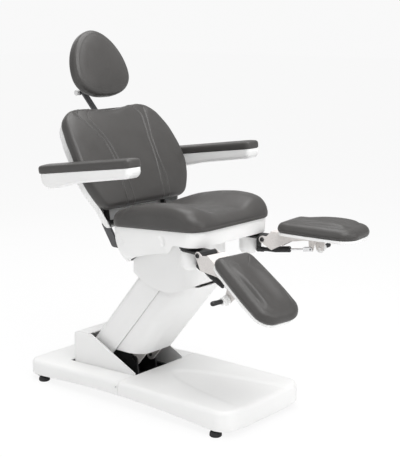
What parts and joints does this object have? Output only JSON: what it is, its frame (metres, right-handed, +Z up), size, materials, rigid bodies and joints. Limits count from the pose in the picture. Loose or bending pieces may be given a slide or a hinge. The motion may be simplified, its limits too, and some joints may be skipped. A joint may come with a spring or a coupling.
{
  "type": "podiatry chair",
  "caption": "Padded foot-care treatment chair on a lift column with tilting seat, reclining back, swing-up armrests, adjustable headrest and separate folding leg rests.",
  "frame": {"origin": "on the floor, under the middle of the overall box", "axes": "+X the way the sitter faces, +Y the sitter's left, +Z up"},
  "size_m": [1.4748, 0.842, 1.5694],
  "materials": {
    "upholstery": "smooth satin synthetic leather",
    "white_plastic": "gloss white",
    "black_steel": "satin black powder coat",
    "grey_steel": "satin dark grey",
    "cream_steel": "textured off-white powder coat",
    "chrome": "polished",
    "black_plastic": "matt black",
    "black_rubber": "matt black"
  },
  "bodies": {
    "base": {"base_frame": "black_steel", "lift_pivot_bracket": "black_steel", "base_rear_cover": "white_plastic", "base_front_cover": "white_plastic", "pedestal_shroud": "white_plastic", "lift_motor": "grey_steel", "control_box": "black_plastic", "power_inlet": "black_plastic", "roller_axle": "chrome"},
    "front_right_foot": {"foot_front_right": "black_rubber"},
    "front_left_foot": {"foot_front_left": "black_rubber"},
    "rear_right_foot": {"foot_rear_right": "black_rubber"},
    "rear_left_foot": {"foot_rear_left": "black_rubber"},
    "right_roller": {"roller_right": "black_rubber"},
    "left_roller": {"roller_left": "black_rubber"},
    "lift_arm": {"rear_lift_arm": "cream_steel", "column_rear_cover": "white_plastic"},
    "front_link": {"front_lift_link": "cream_steel", "column_front_cover": "white_plastic"},
    "lift_actuator_rod": {"lift_rod": "chrome"},
    "lift_head": {"head_frame": "black_steel", "head_cover": "white_plastic", "tilt_motor": "grey_steel"},
    "tilt_actuator_rod": {"tilt_rod": "chrome"},
    "seat": {"seat_frame": "black_steel", "seat_shell": "white_plastic", "seat_cushion": "upholstery", "back_hinge_brackets": "grey_steel", "leg_mount_plates": "black_steel", "back_motor": "grey_steel"},
    "back_actuator_rod": {"back_rod": "chrome"},
    "backrest": {"back_frame": "black_steel", "back_shell": "white_plastic", "back_cushion": "upholstery", "headrest_guide": "grey_steel"},
    "headrest_post": {"headrest_bar": "grey_steel"},
    "headrest": {"headrest_bracket": "grey_steel", "headrest_cushion": "upholstery"},
    "right_armrest": {"right_arm_body": "white_plastic", "right_arm_pad": "upholstery"},
    "left_armrest": {"left_arm_body": "white_plastic", "left_arm_pad": "upholstery"},
    "right_swivel": {"right_swivel_cup": "white_plastic", "right_swivel_arm": "black_steel"},
    "right_shin": {"right_leg_bracket": "cream_steel"},
    "right_leg_pad": {"right_leg_tray": "white_plastic", "right_leg_cushion": "upholstery"},
    "right_gas_tube": {"right_gas_tube": "black_steel"},
    "right_gas_rod": {"right_gas_rod": "chrome"},
    "right_release": {"right_release_handle": "white_plastic"},
    "left_swivel": {"left_swivel_cup": "white_plastic", "left_swivel_arm": "black_steel"},
    "left_shin": {"left_leg_bracket": "cream_steel"},
    "left_leg_pad": {"left_leg_tray": "white_plastic", "left_leg_cushion": "upholstery"},
    "left_gas_tube": {"left_gas_tube": "black_steel"},
    "left_gas_rod": {"left_gas_rod": "chrome"},
    "left_release": {"left_release_handle": "white_plastic"}
  },
  "joints": [
    {"name": "column_lift", "type": "hinge", "parent": "base", "child": "lift_arm", "pos_m": [-0.4, 0, 0.165], "axis": [0, -1, 0], "range_deg": [-28, 12]},
    {"name": "front_link_swing", "type": "hinge", "parent": "base", "child": "front_link", "pos_m": [-0.25, 0, 0.135], "axis": [0, -1, 0], "range_deg": [-28, 12]},
    {"name": "lift_rod_slide", "type": "slide", "parent": "base", "child": "lift_actuator_rod", "axis": [1, 0, 0], "range_m": [-0.048, 0.021]},
    {"name": "head_level", "type": "hinge", "parent": "lift_arm", "child": "lift_head", "pos_m": [-0.0349, 0, 0.60011], "axis": [0, -1, 0], "range_deg": [-12, 28]},
    {"name": "seat_tilt", "type": "hinge", "parent": "lift_head", "child": "seat", "pos_m": [-0.12, 0, 0.7], "axis": [0, -1, 0], "range_deg": [-3.5, 9.5]},
    {"name": "tilt_rod_slide", "type": "slide", "parent": "lift_head", "child": "tilt_actuator_rod", "axis": [0, 0, 1], "range_m": [-0.012, 0.029]},
    {"name": "back_recline", "type": "hinge", "parent": "seat", "child": "backrest", "pos_m": [-0.28, 0, 0.77], "axis": [0, -1, 0], "range_deg": [0, 56]},
    {"name": "back_rod_slide", "type": "slide", "parent": "seat", "child": "back_actuator_rod", "axis": [1, 0, 0], "range_m": [0, 0.07]},
    {"name": "right_armrest_swing", "type": "hinge", "parent": "backrest", "child": "right_armrest", "pos_m": [-0.34424, -0.379, 0.97025], "axis": [0, -1, 0], "range_deg": [0, 90]},
    {"name": "left_armrest_swing", "type": "hinge", "parent": "backrest", "child": "left_armrest", "pos_m": [-0.34424, 0.379, 0.97025], "axis": [0, -1, 0], "range_deg": [0, 90]},
    {"name": "headrest_slide", "type": "slide", "parent": "backrest", "child": "headrest_post", "axis": [-0.682, 0, 0.7314], "range_m": [0, 0.12]},
    {"name": "headrest_tilt", "type": "hinge", "parent": "headrest_post", "child": "headrest", "pos_m": [-0.598, 0, 1.297], "axis": [0, -1, 0], "range_deg": [-5, 35]},
    {"name": "right_leg_swivel", "type": "hinge", "parent": "seat", "child": "right_swivel", "pos_m": [0.191, -0.19, 0.722], "axis": [0, 0, -1], "range_deg": [-12, 80]},
    {"name": "right_leg_pitch", "type": "hinge", "parent": "right_swivel", "child": "right_shin", "pos_m": [0.28519, -0.2024, 0.722], "axis": [0.1305, 0.9914, 0], "range_deg": [-43, 27]},
    {"name": "right_leg_extend", "type": "slide", "parent": "right_shin", "child": "right_leg_pad", "axis": [0.8315, -0.1095, -0.5446], "range_m": [0, 0.12]},
    {"name": "right_gas_swing", "type": "hinge", "parent": "right_swivel", "child": "right_gas_tube", "pos_m": [0.24255, -0.19679, 0.666], "axis": [0.1305, 0.9914, 0], "range_deg": [-39.3, 25]},
    {"name": "right_gas_slide", "type": "slide", "parent": "right_gas_tube", "child": "right_gas_rod", "axis": [0.9266, -0.122, -0.3557], "range_m": [-0.0302, 0.0474]},
    {"name": "right_release_turn", "type": "hinge", "parent": "right_shin", "child": "right_release", "pos_m": [0.453, -0.22449, 0.5787], "axis": [0.1305, 0.9914, 0], "range_deg": [-20, 20]},
    {"name": "left_leg_swivel", "type": "hinge", "parent": "seat", "child": "left_swivel", "pos_m": [0.191, 0.19, 0.722], "axis": [0, 0, 1], "range_deg": [-10.5, 82]},
    {"name": "left_leg_pitch", "type": "hinge", "parent": "left_swivel", "child": "left_shin", "pos_m": [0.28548, 0.19993, 0.722], "axis": [-0.1045, 0.9945, 0], "range_deg": [-10, 60]},
    {"name": "left_leg_extend", "type": "slide", "parent": "left_shin", "child": "left_leg_pad", "axis": [0.9945, 0.1045, 0], "range_m": [0, 0.12]},
    {"name": "left_gas_swing", "type": "hinge", "parent": "left_swivel", "child": "left_gas_tube", "pos_m": [0.24271, 0.19543, 0.666], "axis": [-0.1045, 0.9945, 0], "range_deg": [-9.9, 54.4]},
    {"name": "left_gas_slide", "type": "slide", "parent": "left_gas_tube", "child": "left_gas_rod", "axis": [0.9868, 0.1037, 0.124], "range_m": [-0.0658, 0.0118]},
    {"name": "left_release_turn", "type": "hinge", "parent": "left_shin", "child": "left_release", "pos_m": [0.50427, 0.22293, 0.694], "axis": [-0.1045, 0.9945, 0], "range_deg": [-20, 20]},
    {"name": "front_right_foot_screw", "type": "slide", "parent": "base", "child": "front_right_foot", "axis": [0, 0, -1], "range_m": [0, 0.01]},
    {"name": "front_left_foot_screw", "type": "slide", "parent": "base", "child": "front_left_foot", "axis": [0, 0, -1], "range_m": [0, 0.01]},
    {"name": "rear_right_foot_screw", "type": "slide", "parent": "base", "child": "rear_right_foot", "axis": [0, 0, -1], "range_m": [0, 0.01]},
    {"name": "rear_left_foot_screw", "type": "slide", "parent": "base", "child": "rear_left_foot", "axis": [0, 0, -1], "range_m": [0, 0.01]},
    {"name": "right_roller_spin", "type": "hinge", "parent": "base", "child": "right_roller", "pos_m": [-0.704, -0.21, 0.023], "axis": [0, 1, 0], "continuous": true},
    {"name": "left_roller_spin", "type": "hinge", "parent": "base", "child": "left_roller", "pos_m": [-0.704, 0.21, 0.023], "axis": [0, 1, 0], "continuous": true}
  ],
  "couplings": [
    {"joint": "front_link_swing", "follows": "column_lift", "ratio": 1},
    {"joint": "lift_rod_slide", "follows": "column_lift", "m_per_rad": 0.09311},
    {"joint": "head_level", "follows": "column_lift", "ratio": -1},
    {"joint": "tilt_rod_slide", "follows": "seat_tilt", "m_per_rad": 0.165},
    {"joint": "back_rod_slide", "follows": "back_recline", "m_per_rad": 0.06917},
    {"joint": "right_gas_swing", "follows": "right_leg_pitch", "ratio": 0.89006},
    {"joint": "right_gas_slide", "follows": "right_leg_pitch", "m_per_rad": -0.06186},
    {"joint": "left_gas_swing", "follows": "left_leg_pitch", "ratio": 0.89006},
    {"joint": "left_gas_slide", "follows": "left_leg_pitch", "m_per_rad": -0.06186}
  ]
}
